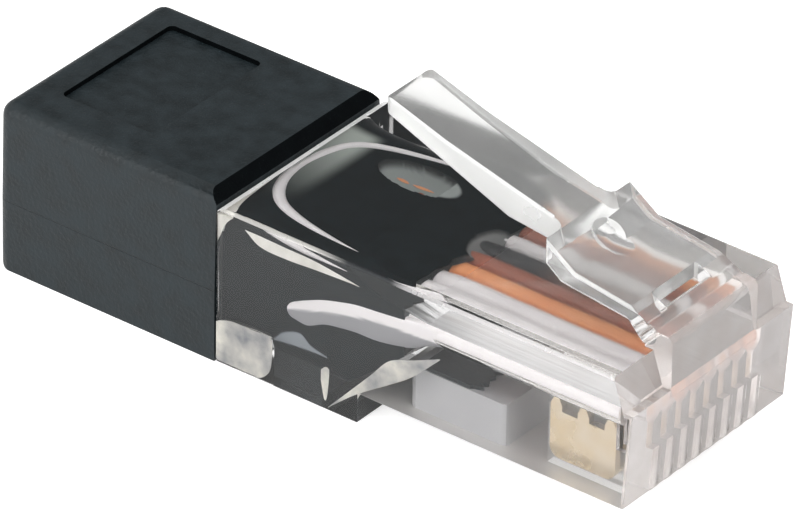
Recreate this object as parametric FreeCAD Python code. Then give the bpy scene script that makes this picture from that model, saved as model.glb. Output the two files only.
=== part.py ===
import FreeCAD, Part
import math
import os

# LAN termination plug: a clear 8-position modular plug, crimped and over-moulded with a black
# block that holds a small board with one resistor across each wire pair.
# Millimetres. +X is the insertion direction, Y the width (pin 1 at -Y), Z up (latch side).
# Shapes are drawn from the plug's own datum: x = 0 at its rear face, z = 0 under its nose.
# place() then moves them so that the origin lies under the middle of the whole part.

# Plug outline
plug_length = 22.55
plug_width = 11.68
nose_height = 6.5
rear_length = 7.9
rear_drop = 1.5
edge_radius = 0.15
brow_radius = 0.4
rear_chamfer = 0.1
rim_run = 0.5
rim_drop = 0.24
ledge_height = 4.85
ledge_depth = 0.45
bevel_run = 0.55
front_rake = 0.35
nose_corner_radius = 0.12

# Plug walls and the cavity that the black plastic fills
roof_wall = 1.1
side_wall = 1.05
floor_wall = 1.1
step_wall = 1.4
cavity_corner = 1.3
mouth_length = 2.0
mouth_flare = 0.45
mouth_steps = 4
throat_length = 4.5
lock_start = 2.75
lock_length = 2.7
lock_width = 8.8

# Wires and their channels
pin_count = 8
pin_spacing = 1.016
wire_height = 3.9
insulation_diameter = 0.96
conductor_diameter = 0.5
channel_clearance = 0.05
wire_front_gap = 0.15
channel_front_wall = 1.25

# Contact blades and their slots
blade_thickness = 0.35
blade_length = 3.5
blade_setback = 1.6
blade_recess = 0.35
blade_body_height = 2.4
blade_corner = 0.55
prong_count = 3
prong_width = 0.62
slot_clearance = 0.05
spring_slot_height = 2.1

# Pressed-in strain relief in the underside
wire_bar_setback = 12.4
wire_bar_length = 5.2
wire_bar_width = 8.6
wire_bar_depth = 2.1
wire_bar_corner = 0.4

# Latch, measured from the line that it bends about
hinge_setback = 1.35
hinge_rise = 0.65
hinge_radius = 0.5
hinge_clearance = 0.04
hinge_cover = 0.1
root_rise = 0.95
catch_width = 6.1
catch_reach = 5.5
catch_rise = 2.55
catch_thickness = 1.2
ramp_length = 1.6
ramp_rise = 1.1
arm_thickness = 0.75
crease_reach = 0.93
crease_rise = 1.0
window_width = 3.2
window_length = 1.0
lever_width = 3.2
lever_reach = 15.5
lever_slope = 14.0
lever_knee = 8.6
lever_thickness = 1.6
pad_length = 3.4
pad_slope = 17.6
pad_thickness = 0.8
pad_corner = 0.7
pad_lip_radius = 0.35
latch_edge_radius = 0.15
catch_root_radius = 0.5

# Black over-moulded block
block_length = 12.4
block_width = 11.68
block_rise = 0.45
block_draft = 1.3
parting_height = 2.1
block_edge_radius = 0.7
relief_length = 0.6
relief_depth = 0.5
seam_gap = 0.04
recess_length = 5.2
recess_width = 7.7
recess_offset = 0.35
recess_setback = 1.8
recess_depth = 0.25
recess_corner = 0.3

# Black tongue inside the plug
tongue_length = 9.6
mould_gap = 0.03
bubble_length = 4.2
bubble_width = 1.9
bubble_depth = 1.15
bubble_start = 2.6
bubble_pin = 7

# Termination board in the block
board_setback = 2.4
board_length = 7.2
board_width = 8.6
board_thickness = 0.8
strip_gap = 0.3
bare_lap = 1.6
resistor_length = 1.6
resistor_width = 0.8
resistor_height = 0.45
resistor_cap = 0.3
resistor_skin = 0.04
resistor_setback = 5.8
resistor_count = 4
bore_clearance = 0.01

# Worked-out places
half_width = plug_width / 2
row_middle = (pin_count - 1) / 2
row_half = row_middle * pin_spacing
channel_radius = insulation_diameter / 2 + channel_clearance
channel_end = plug_length - channel_front_wall
wire_end = channel_end - wire_front_gap
cavity_end = rear_length - step_wall
throat_end = cavity_end + throat_length
cavity_floor = floor_wall - rear_drop
cavity_roof = nose_height - roof_wall
cavity_half = half_width - side_wall
blade_front = plug_length - blade_setback
blade_rear = blade_front - blade_length
hinge_x = plug_length - hinge_setback
hinge_z = nose_height + hinge_rise
block_top = nose_height + block_rise
board_top = wire_height - conductor_diameter / 2
overlap = 1.0


def place(shape):
    moved = shape.copy()
    moved.translate(FreeCAD.Vector((block_length - plug_length) / 2, 0, rear_drop))
    return moved


def pin_y(pin):
    return (pin - row_middle) * pin_spacing


def box(x0, x1, y0, y1, z0, z1):
    return Part.makeBox(x1 - x0, y1 - y0, z1 - z0, FreeCAD.Vector(x0, y0, z0))


def rod(x0, x1, y, z, radius):
    return Part.makeCylinder(radius, x1 - x0, FreeCAD.Vector(x0, y, z), FreeCAD.Vector(1, 0, 0))


def side_prism(points, y0, y1):
    corners = [FreeCAD.Vector(x, y0, z) for x, z in points]
    face = Part.Face(Part.makePolygon(corners + corners[:1]))
    return face.extrude(FreeCAD.Vector(0, y1 - y0, 0))


def rounded_rectangle(centre, along, across, half_a, half_b, radius):
    # Closed wire of four sides and four quarter arcs, in the plane of the two directions.
    diagonal = math.sqrt(0.5) * radius
    edges = []
    last = None
    first = None
    for turn in range(4):
        a = along if turn % 2 == 0 else across
        b = across if turn % 2 == 0 else along
        reach_a = half_a if turn % 2 == 0 else half_b
        reach_b = half_b if turn % 2 == 0 else half_a
        sign_a = 1 if turn in (0, 3) else -1
        sign_b = 1 if turn in (0, 1) else -1
        if turn % 2 == 1:
            sign_a, sign_b = sign_b, sign_a
        knuckle = centre + a * (sign_a * (reach_a - radius)) + b * (sign_b * (reach_b - radius))
        start = knuckle + a * (sign_a * radius)
        middle = knuckle + a * (sign_a * diagonal) + b * (sign_b * diagonal)
        end = knuckle + b * (sign_b * radius)
        if last is not None:
            edges.append(Part.LineSegment(last, start).toShape())
        else:
            first = start
        edges.append(Part.Arc(start, middle, end).toShape())
        last = end
    edges.append(Part.LineSegment(last, first).toShape())
    return Part.Wire(edges)


def cross_section(x, half, low, high, radius):
    centre = FreeCAD.Vector(x, 0, (low + high) / 2)
    return rounded_rectangle(centre, FreeCAD.Vector(0, 1, 0), FreeCAD.Vector(0, 0, 1),
                             half, (high - low) / 2, radius)


def rounded_pad(x0, x1, y0, y1, z0, z1, radius):
    centre = FreeCAD.Vector((x0 + x1) / 2, (y0 + y1) / 2, z0)
    outline = rounded_rectangle(centre, FreeCAD.Vector(1, 0, 0), FreeCAD.Vector(0, 1, 0),
                                (x1 - x0) / 2, (y1 - y0) / 2, radius)
    return Part.Face(outline).extrude(FreeCAD.Vector(0, 0, z1 - z0))


def edges_where(shape, test):
    return [edge for edge in shape.Edges if test(edge.BoundBox)]


def along_x(bounds):
    return bounds.YLength < 1e-6 and bounds.ZLength < 1e-6


def along_z(bounds):
    return bounds.XLength < 1e-6 and bounds.YLength < 1e-6


def near(a, b):
    return abs(a - b) < 1e-4


# Plug housing

def nose_shell():
    # The front face leans back to its foot, and a bevel runs along the top of the rear face.
    profile = [(0, 0), (plug_length - front_rake, 0), (plug_length, ledge_height),
               (plug_length - ledge_depth, ledge_height),
               (plug_length - ledge_depth - bevel_run, nose_height), (rim_run, nose_height),
               (0, nose_height - rim_drop)]
    nose = side_prism(profile, -half_width, half_width)
    long_edges = edges_where(nose, along_x)
    long_edges = [edge for edge in long_edges if not near(edge.BoundBox.ZMin, ledge_height)]
    nose = nose.makeFillet(edge_radius, long_edges)
    corners = edges_where(nose, lambda b: near(b.XMax, plug_length) and near(b.YLength, 0))
    return nose.makeFillet(nose_corner_radius, corners)


def rear_shell():
    rear = box(0, rear_length, -half_width, half_width, -rear_drop, wire_height)
    foot_edges = edges_where(rear, lambda b: along_x(b) and near(b.ZMin, -rear_drop))
    foot_edges += edges_where(rear, lambda b: near(b.XMin, rear_length) and near(b.ZMax, -rear_drop))
    return rear.makeFillet(edge_radius, foot_edges)


def latch_root():
    # The bar across the nose that the latch springs from, hollowed for the hinge line.
    half = catch_width / 2
    root = box(hinge_x - hinge_cover, plug_length, -half, half, ledge_height - brow_radius,
               nose_height + root_rise)
    brow = edges_where(root, lambda b: near(b.XMin, plug_length) and near(b.ZMin, nose_height + root_rise))
    root = root.makeFillet(brow_radius, brow)
    groove = Part.makeCylinder(hinge_radius + hinge_clearance, catch_width + 2 * overlap,
                               FreeCAD.Vector(hinge_x, -half - overlap, hinge_z),
                               FreeCAD.Vector(0, 1, 0))
    return root, groove


def bore_section(x, growth):
    return cross_section(x, cavity_half + growth, cavity_floor - growth, cavity_roof + growth,
                         cavity_corner + growth)


def cavity(gap, stub):
    # Bell mouth, then a bore whose front tapers on all sides to gather the wires into one row.
    # The black filling is the same form, smaller by the gap, with a stub behind the mouth.
    sections = [bore_section(-stub, mouth_flare - gap)]
    for step in range(mouth_steps + 1):
        angle = math.pi / 2 * step / mouth_steps
        sections.append(bore_section(mouth_length * (1 - math.cos(angle)),
                                     mouth_flare * (1 - math.sin(angle)) - gap))
    mouth = [Part.makeLoft(list(pair), True, True) for pair in zip(sections, sections[1:])]
    bore = Part.Face(sections[-1]).extrude(FreeCAD.Vector(throat_end - mouth_length, 0, 0))
    row_reach = channel_radius - gap
    narrow = (row_half + row_reach, wire_height - row_reach, wire_height + row_reach)
    full = (cavity_half - gap, cavity_floor + gap, cavity_roof - gap)
    steepness = (cavity_end - mouth_length) / throat_length
    wide = [at_end + (at_end - at_row) * steepness for at_end, at_row in zip(full, narrow)]
    taper = Part.makeWedge(-wide[0], mouth_length, wide[1], narrow[1], -narrow[0],
                           wide[0], throat_end, wide[2], narrow[2], narrow[0])
    taper.rotate(FreeCAD.Vector(0, 0, 0), FreeCAD.Vector(0, 0, 1), -90)
    return mouth[0].fuse(mouth[1:] + [bore.common(taper)]).removeSplitter()


def wire_channels():
    # A round groove under each wire, and one flat roof over the row.
    start = throat_end - throat_length / 4
    half = row_half + channel_radius
    roof = box(start, channel_end, -half, half, wire_height, wire_height + channel_radius)
    return [roof] + [rod(start, channel_end, pin_y(pin), wire_height, channel_radius) for pin in range(pin_count)]


def contact_slot(pin):
    half = blade_thickness / 2 + slot_clearance
    return box(blade_rear - slot_clearance, blade_front + slot_clearance, pin_y(pin) - half, pin_y(pin) + half,
               -overlap, wire_height)


def spring_slot(pin):
    # The opening in front of a contact, where the jack's spring wire slides in.
    half = blade_thickness / 2 + slot_clearance
    return box(blade_front, plug_length + overlap, pin_y(pin) - half, pin_y(pin) + half,
               -overlap, spring_slot_height)


def lock_window(gap, foot):
    # The opening in the floor that the black plastic fills and locks into.
    half = lock_width / 2 - gap
    return box(lock_start + gap, lock_start + lock_length - gap, -half, half, foot, cavity_floor + cavity_corner)


def wire_bar_pocket():
    start = plug_length - wire_bar_setback
    half = wire_bar_width / 2
    return rounded_pad(start, start + wire_bar_length, -half, half, -overlap, wire_bar_depth, wire_bar_corner)


def plug_housing():
    root, groove = latch_root()
    shell = nose_shell().fuse([rear_shell(), root]).removeSplitter()
    back_edges = edges_where(shell, lambda b: near(b.XMin, 0) and near(b.XMax, 0))
    shell = shell.makeChamfer(min(rear_chamfer, edge_radius - seam_gap), back_edges)
    slots = [slot(pin) for pin in range(pin_count) for slot in (contact_slot, spring_slot)]
    openings = [cavity(0, overlap), lock_window(0, -rear_drop - overlap), wire_bar_pocket(), groove]
    return shell.cut(openings + wire_channels() + slots).removeSplitter()


# Latch

def latch_point(reach, rise):
    return hinge_x - reach, hinge_z + rise


def tangent_point(reach, rise, side):
    # Where the line from a point of the arm touches the hinge roll, on its upper or lower side.
    distance = math.hypot(reach, rise)
    angle = math.atan2(rise, reach) + side * math.acos(hinge_radius / distance)
    return hinge_radius * math.cos(angle), hinge_radius * math.sin(angle)


def latch_side():
    # Side view of the latch: hinge roll, thin arm, catch ramp, lever and its thumb pad.
    ramp_foot = (catch_reach - ramp_length, catch_rise - ramp_rise)
    crease = (crease_reach, crease_rise)
    under_bend = (ramp_foot[0] + arm_thickness, ramp_foot[1] - arm_thickness)
    under_front = (crease_reach, crease_rise - arm_thickness)
    pad_reach = lever_reach - pad_length
    lever_climb = math.tan(math.radians(lever_slope))
    pad_rise = catch_rise + (pad_reach - catch_reach) * lever_climb
    tip_rise = pad_rise + pad_length * math.tan(math.radians(pad_slope))
    knee_rise = catch_rise + (lever_knee - catch_reach) * lever_climb
    outline = [crease, ramp_foot, (catch_reach, catch_rise), (pad_reach, pad_rise),
               (lever_reach, tip_rise), (lever_reach, tip_rise - pad_thickness),
               (lever_knee, knee_rise - lever_thickness), (catch_reach, catch_rise - catch_thickness),
               under_bend, under_front, tangent_point(under_front[0], under_front[1], -1), (0, 0),
               tangent_point(crease[0], crease[1], 1)]
    half = catch_width / 2
    side = side_prism([latch_point(*point) for point in outline], -half, half)
    lip = edges_where(side, lambda b: near(b.XMax, hinge_x - lever_reach) and near(b.ZMin, hinge_z + tip_rise))
    side = side.makeFillet(pad_lip_radius, lip)
    roll = Part.makeCylinder(hinge_radius, catch_width, FreeCAD.Vector(hinge_x, -half, hinge_z),
                             FreeCAD.Vector(0, 1, 0))
    return side.fuse(roll).removeSplitter()


def latch_wings(side):
    # Front of the latch: both catch wings, with a rounded web where the lever leaves them.
    shoulder_x = hinge_x - catch_reach
    height = (nose_height - overlap, hinge_z + lever_reach)
    wings = box(shoulder_x, plug_length, -catch_width / 2, catch_width / 2, *height)
    stub_x = shoulder_x - catch_root_radius - latch_edge_radius
    stub = box(stub_x, shoulder_x, -lever_width / 2, lever_width / 2, *height)
    plan = wings.fuse(stub)
    webs = edges_where(plan, lambda b: along_z(b) and near(b.XMin, shoulder_x)
                       and near(abs(b.YMin), lever_width / 2))
    front = side.common(plan.makeFillet(catch_root_radius, webs))
    rim = edges_where(front, lambda b: b.XMax < hinge_x - crease_reach + 1e-4
                      and near(b.YLength, 0) and near(abs(b.YMin), catch_width / 2))
    return front.makeFillet(latch_edge_radius, rim)


def latch_bar(side):
    # The lever behind the catch: rounded along its edges, with rounded corners at its end.
    tip_x = hinge_x - lever_reach
    height = (nose_height - overlap, hinge_z + lever_reach)
    inside = hinge_x - catch_reach + ramp_length / 4
    lever = side.common(box(tip_x, inside, -lever_width / 2, lever_width / 2, *height))
    rim = edges_where(lever, lambda b: b.XMax < hinge_x - catch_reach + 1e-4
                      and near(b.YLength, 0) and not along_z(b))
    lever = lever.makeFillet(latch_edge_radius, rim)
    plan = box(tip_x, inside, -lever_width / 2, lever_width / 2, *height)
    corners = edges_where(plan, lambda b: along_z(b) and near(b.XMin, tip_x))
    return lever.common(plan.makeFillet(pad_corner, corners))


def latch_lever():
    side = latch_side()
    window = rounded_pad(hinge_x - crease_reach, hinge_x - crease_reach + window_length,
                         -window_width / 2, window_width / 2, nose_height, hinge_z + catch_rise,
                         latch_edge_radius)
    return latch_wings(side).fuse(latch_bar(side)).removeSplitter().cut(window)


# Contacts and wires

def prongs():
    # Piercing points along the top of a blade, up to the underside of the conductor.
    base = blade_recess + blade_body_height - overlap / 2
    tip = wire_height - conductor_diameter / 2 - bore_clearance
    shoulder = tip - prong_width
    spacing = (blade_length - prong_width) / (prong_count - 1)
    shapes = []
    for index in range(prong_count):
        rear = blade_rear + index * spacing
        front = rear + prong_width
        outline = [(rear, base), (front, base), (front, shoulder), ((rear + front) / 2, tip), (rear, shoulder)]
        shapes.append(side_prism(outline, -blade_thickness / 2, blade_thickness / 2))
    return shapes


def contact(pin):
    half = blade_thickness / 2
    blade = box(blade_rear, blade_front, -half, half, blade_recess, blade_recess + blade_body_height)
    feet = edges_where(blade, lambda b: near(b.ZMax, blade_recess) and near(b.XLength, 0))
    blade = blade.makeFillet(blade_corner, feet)
    blade = blade.fuse(prongs()).removeSplitter()
    blade.translate(FreeCAD.Vector(0, pin_y(pin), 0))
    return blade


def conductor(pin, gap):
    return rod(-board_setback - bare_lap - gap, wire_end, pin_y(pin), wire_height, conductor_diameter / 2 + gap)


def wire_insulation(pin):
    # Stripped behind the wire row, and slit along the underside where the blade goes in.
    sleeve = rod(strip_gap - board_setback, wire_end, pin_y(pin), wire_height, insulation_diameter / 2)
    return sleeve.cut([conductor(pin, bore_clearance), contact_slot(pin)])


# Termination board

def termination_board():
    return box(-board_setback - board_length, -board_setback, -board_width / 2, board_width / 2,
               board_top - board_thickness, board_top)


def chip_resistor(index):
    # Ceramic chip across one wire pair, its metal end caps a skin prouder than the ceramic.
    x = -resistor_setback
    y = (index - (resistor_count - 1) / 2) * 2 * pin_spacing
    half = resistor_width / 2
    reach = resistor_length / 2
    top = board_top + resistor_height
    core = box(x - half + resistor_skin, x + half - resistor_skin, y - reach + resistor_skin,
               y + reach - resistor_skin, board_top + resistor_skin, top - resistor_skin)
    near_cap = box(x - half, x + half, y - reach, y - reach + resistor_cap, board_top, top)
    far_cap = box(x - half, x + half, y + reach - resistor_cap, y + reach, board_top, top)
    return core.fuse([near_cap, far_cap])


# Black body

def block_half(height, draft, rounded):
    # One mould half, from its full outline at the parting line to its face, rounded round the rear.
    half = block_width / 2
    half_far = half - height * math.tan(math.radians(draft))
    body = Part.makeWedge(-block_length, 0, -half, -half_far, -block_length,
                          -seam_gap, height, half, half_far, -seam_gap)
    body.rotate(FreeCAD.Vector(0, 0, 0), FreeCAD.Vector(1, 0, 0), 90)
    edges = edges_where(body, lambda b: near(b.XMax, -block_length) and b.ZMax > 1e-4)
    if rounded:
        edges += edges_where(body, lambda b: near(b.ZMin, height) and near(b.YLength, 0))
    return body.makeFillet(block_edge_radius, edges)


def block():
    # The upper half has draft and rounded edges; the lower half is straight, with a sharp foot.
    upper = block_half(block_top - parting_height, block_draft, True)
    lower = block_half(parting_height + rear_drop, 0, False)
    lower.rotate(FreeCAD.Vector(0, 0, 0), FreeCAD.Vector(1, 0, 0), 180)
    body = upper.fuse(lower)
    body.translate(FreeCAD.Vector(0, 0, parting_height))
    relief = [(-relief_length, block_top), (-relief_length, block_top + overlap),
              (overlap, block_top + overlap), (overlap, block_top - relief_depth),
              (-seam_gap, block_top - relief_depth)]
    recess_rear = -block_length + recess_setback
    recess = rounded_pad(recess_rear, recess_rear + recess_length, recess_offset - recess_width / 2,
                         recess_offset + recess_width / 2, block_top - recess_depth,
                         block_top + overlap, recess_corner)
    return body.cut([side_prism(relief, -block_width, block_width), recess])


def tongue():
    filled = cavity(mould_gap, board_setback / 2)
    ahead = box(tongue_length, plug_length, -half_width, half_width, -rear_drop, nose_height)
    return filled.cut(ahead).fuse(lock_window(mould_gap, -rear_drop))


def bubble():
    # A void that the black plastic left under the roof of the plug, over one of the wires.
    middle = pin_y(bubble_pin) - pin_spacing
    half = bubble_width / 2
    return rounded_pad(bubble_start, bubble_start + bubble_length, middle - half, middle + half,
                       cavity_roof - bubble_depth, cavity_roof + overlap, half - mould_gap)


def wire_room():
    # One flat slot with round ends takes the whole row of wires.
    reach = insulation_diameter / 2 + mould_gap
    rear = strip_gap - board_setback - mould_gap
    front = tongue_length + overlap
    slot = box(rear, front, -row_half, row_half, wire_height - reach, wire_height + reach)
    ends = [rod(rear, front, pin_y(pin), wire_height, reach) for pin in (0, pin_count - 1)]
    return slot.fuse(ends)


def board_room():
    half = board_width / 2 + mould_gap
    tallest = max(conductor_diameter, resistor_height)
    return box(-board_setback - board_length - mould_gap, strip_gap - board_setback, -half, half,
               board_top - board_thickness - mould_gap, board_top + tallest + mould_gap)


def terminator_body():
    return block().fuse(tongue()).cut([wire_room(), board_room(), bubble()]).removeSplitter()


def all_parts():
    parts = {
        "plug_housing": plug_housing(),
        "latch_lever": latch_lever(),
        "terminator_body": terminator_body(),
        "termination_board": termination_board(),
    }
    for pin in range(pin_count):
        parts[f"contact_{pin + 1}"] = contact(pin)
        parts[f"wire_insulation_{pin + 1}"] = wire_insulation(pin)
        parts[f"wire_conductor_{pin + 1}"] = conductor(pin, 0)
    for index in range(resistor_count):
        parts[f"chip_resistor_{index + 1}"] = chip_resistor(index)
    return parts


os.makedirs("parts", exist_ok=True)
for name, shape in all_parts().items():
    placed = place(shape)
    placed.exportStep(f"parts/{name}.step")
    print(name, len(placed.Solids), "solid", round(placed.Volume, 3), "mm3", placed.isValid())
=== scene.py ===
import math
import bmesh
import bpy
from mathutils import Matrix, Vector, noise


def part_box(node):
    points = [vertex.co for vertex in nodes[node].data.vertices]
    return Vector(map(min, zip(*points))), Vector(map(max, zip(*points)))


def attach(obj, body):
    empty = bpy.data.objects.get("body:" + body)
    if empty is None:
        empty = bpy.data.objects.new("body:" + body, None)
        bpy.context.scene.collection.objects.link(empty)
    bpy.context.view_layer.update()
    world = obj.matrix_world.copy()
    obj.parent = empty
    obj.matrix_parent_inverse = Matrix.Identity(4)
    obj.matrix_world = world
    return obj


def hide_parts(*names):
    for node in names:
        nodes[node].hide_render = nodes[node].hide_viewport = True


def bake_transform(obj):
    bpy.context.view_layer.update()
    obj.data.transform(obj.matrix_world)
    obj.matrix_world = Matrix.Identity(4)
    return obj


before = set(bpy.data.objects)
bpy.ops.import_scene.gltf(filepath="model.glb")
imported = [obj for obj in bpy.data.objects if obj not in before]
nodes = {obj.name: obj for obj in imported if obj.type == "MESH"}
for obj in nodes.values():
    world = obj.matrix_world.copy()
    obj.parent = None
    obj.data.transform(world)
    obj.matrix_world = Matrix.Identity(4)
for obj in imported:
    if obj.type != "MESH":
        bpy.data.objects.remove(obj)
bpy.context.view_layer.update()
scene = bpy.context.scene
mm = 0.001
mergeSpan = 0.0015  # points closer than this are one, in mm
sortDigits = 8  # digits of a metre that tell two points apart when they are sorted
flatAngle = 0.3  # triangles that turn less than this from each other are one flat face, in degrees
facing = 0.3  # how far a face has to look a way to count as facing it
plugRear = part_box("plug_housing")[0][0] / mm  # x of the plug's rear face, in mm
noseBase = 1.5  # height of the nose's underside over the floor, in mm
print("frame loaded,", len(nodes), "pieces")


# Small helpers for meshes. Plug places are in mm from the plug's rear face and the nose's underside.

def plugPlace(x, y, z):
    return Vector(((x + plugRear) * mm, y * mm, (z + noseBase) * mm))


def addPiece(name, mesh):
    piece = bpy.data.objects.new(name, mesh)
    scene.collection.objects.link(piece)
    return piece


def smoothByAngle(mesh, degrees):
    mesh.polygons.foreach_set("use_smooth", [True] * len(mesh.polygons))
    mesh.set_sharp_from_angle(angle=math.radians(degrees))


def workedOut(piece, name):
    # What the piece shows, with its curve or its modifiers worked out, as a plain mesh.
    graph = bpy.context.evaluated_depsgraph_get()
    mesh = bpy.data.meshes.new_from_object(piece.evaluated_get(graph))
    mesh.name = name
    return mesh


def applyModifiers(piece):
    mesh = workedOut(piece, piece.name)
    piece.modifiers.clear()
    piece.data = mesh


def meshFrom(shape, name):
    mesh = bpy.data.meshes.new(name)
    shape.to_mesh(mesh)
    shape.free()
    return mesh


def sortMesh(piece):
    # A join leaves points and faces in an order that changes from run to run. Sorted, they stay the same.
    old = piece.data
    spots = [tuple(round(value, sortDigits) for value in vert.co) for vert in old.vertices]
    order = sorted(range(len(spots)), key=lambda index: spots[index])
    rank = {index: place for place, index in enumerate(order)}
    faces = []
    for face in old.polygons:
        ring = [rank[index] for index in face.vertices]
        first = ring.index(min(ring))
        faces.append(ring[first:] + ring[:first])
    mesh = bpy.data.meshes.new(piece.name)
    mesh.from_pydata([old.vertices[index].co for index in order], [], sorted(faces))
    piece.data = mesh


def flattenFaces(piece, degrees):
    # Smooth over rounded edges, with the large flat faces kept flat: their triangles become one face first.
    shape = bmesh.new()
    shape.from_mesh(piece.data)
    bmesh.ops.remove_doubles(shape, verts=shape.verts, dist=mergeSpan * mm)
    bmesh.ops.dissolve_limit(shape, angle_limit=math.radians(flatAngle), verts=shape.verts, edges=shape.edges)
    shape.to_mesh(piece.data)
    shape.free()
    smoothByAngle(piece.data, degrees)
    weigh = piece.modifiers.new("weigh", "WEIGHTED_NORMAL")
    weigh.mode = "FACE_AREA"
    weigh.weight = 100  # large faces count for nearly all
    weigh.keep_sharp = True
    applyModifiers(piece)


def mergedCopy(nodeName, pieceName):
    shape = bmesh.new()
    shape.from_mesh(nodes[nodeName].data)
    bmesh.ops.remove_doubles(shape, verts=shape.verts, dist=mergeSpan * mm)
    return meshFrom(shape, pieceName)


def gridMesh(name, rows):
    # Faces between rows of points that run round a piece, closed at each end. Seen with the rows coming
    # nearer, each row runs counter-clockwise, so that the faces point outwards.
    count = len(rows[0])
    verts = [point for row in rows for point in row]
    faces = []
    for r in range(len(rows) - 1):
        for c in range(count):
            d = (c + 1) % count
            faces.append((r * count + c, r * count + d, (r + 1) * count + d, (r + 1) * count + c))
    faces.append(tuple(reversed(range(count))))
    faces.append(tuple((len(rows) - 1) * count + c for c in range(count)))
    mesh = bpy.data.meshes.new(name)
    mesh.from_pydata(verts, [], faces)
    return mesh


def smoothStep(low, high, value):
    share = min(max((value - low) / (high - low), 0.0), 1.0)
    return share * share * (3 - 2 * share)


def alongPath(points, position):
    # Values read along a list of (place, value...) rows, on a smooth curve through them.
    last = len(points) - 1
    position = min(max(position, points[0][0]), points[last][0])
    index = 0
    while index < last - 1 and position > points[index + 1][0]:
        index += 1
    (a, *low), (b, *high) = points[index], points[index + 1]
    (before, *left), (after, *right) = points[max(index - 1, 0)], points[min(index + 2, last)]
    share = (position - a) / (b - a)
    values = []
    for p, q, r, s in zip(left, low, high, right):
        slopeIn = (r - p) / (b - before) * (b - a)
        slopeOut = (s - q) / (after - a) * (b - a)
        cube, square = share ** 3, share ** 2
        values.append((2 * cube - 3 * square + 1) * q + (cube - 2 * square + share) * slopeIn
                      + (3 * square - 2 * cube) * r + (cube - square) * slopeOut)
    return values


# Small helpers for building node trees

def addNode(tree, kind, place, **settings):
    node = tree.nodes.new(kind)
    node.location = place
    for name, value in settings.items():
        setattr(node, name, value)
    return node


def newMaterial(name):
    material = bpy.data.materials.new(name)
    material.use_nodes = True
    tree = material.node_tree
    return material, tree, tree.nodes["Principled BSDF"]


def dress(piece, material):
    piece.data.materials.clear()
    piece.data.materials.append(material)


# Shared effect: fine moulding grain, as a height and a cloudy tone

grainDetail = 3.0
cloudDetail = 4.0
toneSpan = (0.3, 0.7)  # the part of the cloudy tone that a ramp spreads out


def buildMouldGrain():
    group = bpy.data.node_groups.new("mouldGrain", "ShaderNodeTree")
    face = group.interface
    face.new_socket("Grain Scale", in_out="INPUT", socket_type="NodeSocketFloat").default_value = 4000.0
    face.new_socket("Cloud Scale", in_out="INPUT", socket_type="NodeSocketFloat").default_value = 300.0
    face.new_socket("Height", in_out="OUTPUT", socket_type="NodeSocketFloat")
    face.new_socket("Tone", in_out="OUTPUT", socket_type="NodeSocketFloat")
    inputs = addNode(group, "NodeGroupInput", (-600, 0))
    outputs = addNode(group, "NodeGroupOutput", (400, 0))
    place = addNode(group, "ShaderNodeTexCoord", (-600, -200))
    grain = addNode(group, "ShaderNodeTexNoise", (-300, 150))
    grain.inputs["Detail"].default_value = grainDetail
    cloud = addNode(group, "ShaderNodeTexNoise", (-300, -150))
    cloud.inputs["Detail"].default_value = cloudDetail
    link = group.links.new
    link(place.outputs["Object"], grain.inputs["Vector"])
    link(place.outputs["Object"], cloud.inputs["Vector"])
    link(inputs.outputs["Grain Scale"], grain.inputs["Scale"])
    link(inputs.outputs["Cloud Scale"], cloud.inputs["Scale"])
    link(grain.outputs["Fac"], outputs.inputs["Height"])
    link(cloud.outputs["Fac"], outputs.inputs["Tone"])
    return group


mouldGrain = buildMouldGrain()


def addGrain(tree, place, grainScale, cloudScale):
    node = addNode(tree, "ShaderNodeGroup", place)
    node.node_tree = mouldGrain
    node.inputs["Grain Scale"].default_value = grainScale
    node.inputs["Cloud Scale"].default_value = cloudScale
    return node


def addRamp(tree, place, low, high, span=toneSpan):
    ramp = addNode(tree, "ShaderNodeValToRGB", place)
    for element, position, colour in zip(ramp.color_ramp.elements, span, (low, high)):
        element.position = position
        element.color = (*colour, 1)
    return ramp


def addRange(tree, place, fromSpan, toSpan=(0.0, 1.0), **settings):
    node = addNode(tree, "ShaderNodeMapRange", place, **settings)
    node.inputs["From Min"].default_value, node.inputs["From Max"].default_value = fromSpan
    node.inputs["To Min"].default_value, node.inputs["To Max"].default_value = toSpan
    return node


def addBump(tree, place, strength, distance):
    node = addNode(tree, "ShaderNodeBump", place)
    node.inputs["Strength"].default_value = strength
    node.inputs["Distance"].default_value = distance
    return node


def addPlaceAlong(tree, place, axis):
    # The place along one axis of the piece, in metres.
    x, y = place
    where = addNode(tree, "ShaderNodeTexCoord", place)
    split = addNode(tree, "ShaderNodeSeparateXYZ", (x + 200, y))
    tree.links.new(where.outputs["Object"], split.inputs["Vector"])
    return split.outputs[axis]


def grainyMaterial(name, low, high, roughLow, roughHigh, grainScale, cloudScale, bumpStrength, bumpDepth,
                   specular=0.5, metallic=0.0, transmission=0.0, ior=1.5):
    material, tree, shader = newMaterial(name)
    shader.inputs["Specular IOR Level"].default_value = specular
    shader.inputs["Metallic"].default_value = metallic
    shader.inputs["Transmission Weight"].default_value = transmission
    shader.inputs["IOR"].default_value = ior
    grain = addGrain(tree, (-900, 0), grainScale, cloudScale)
    tone = addRamp(tree, (-500, 200), low, high)
    rough = addRange(tree, (-500, -50), toneSpan, (roughLow, roughHigh))
    bump = addBump(tree, (-300, -300), bumpStrength, bumpDepth)
    link = tree.links.new
    link(grain.outputs["Tone"], tone.inputs["Fac"])
    link(grain.outputs["Tone"], rough.inputs["Value"])
    link(grain.outputs["Height"], bump.inputs["Height"])
    link(tone.outputs["Color"], shader.inputs["Base Color"])
    link(rough.outputs["Result"], shader.inputs["Roughness"])
    link(bump.outputs["Normal"], shader.inputs["Normal"])
    return material, tree, shader


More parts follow.
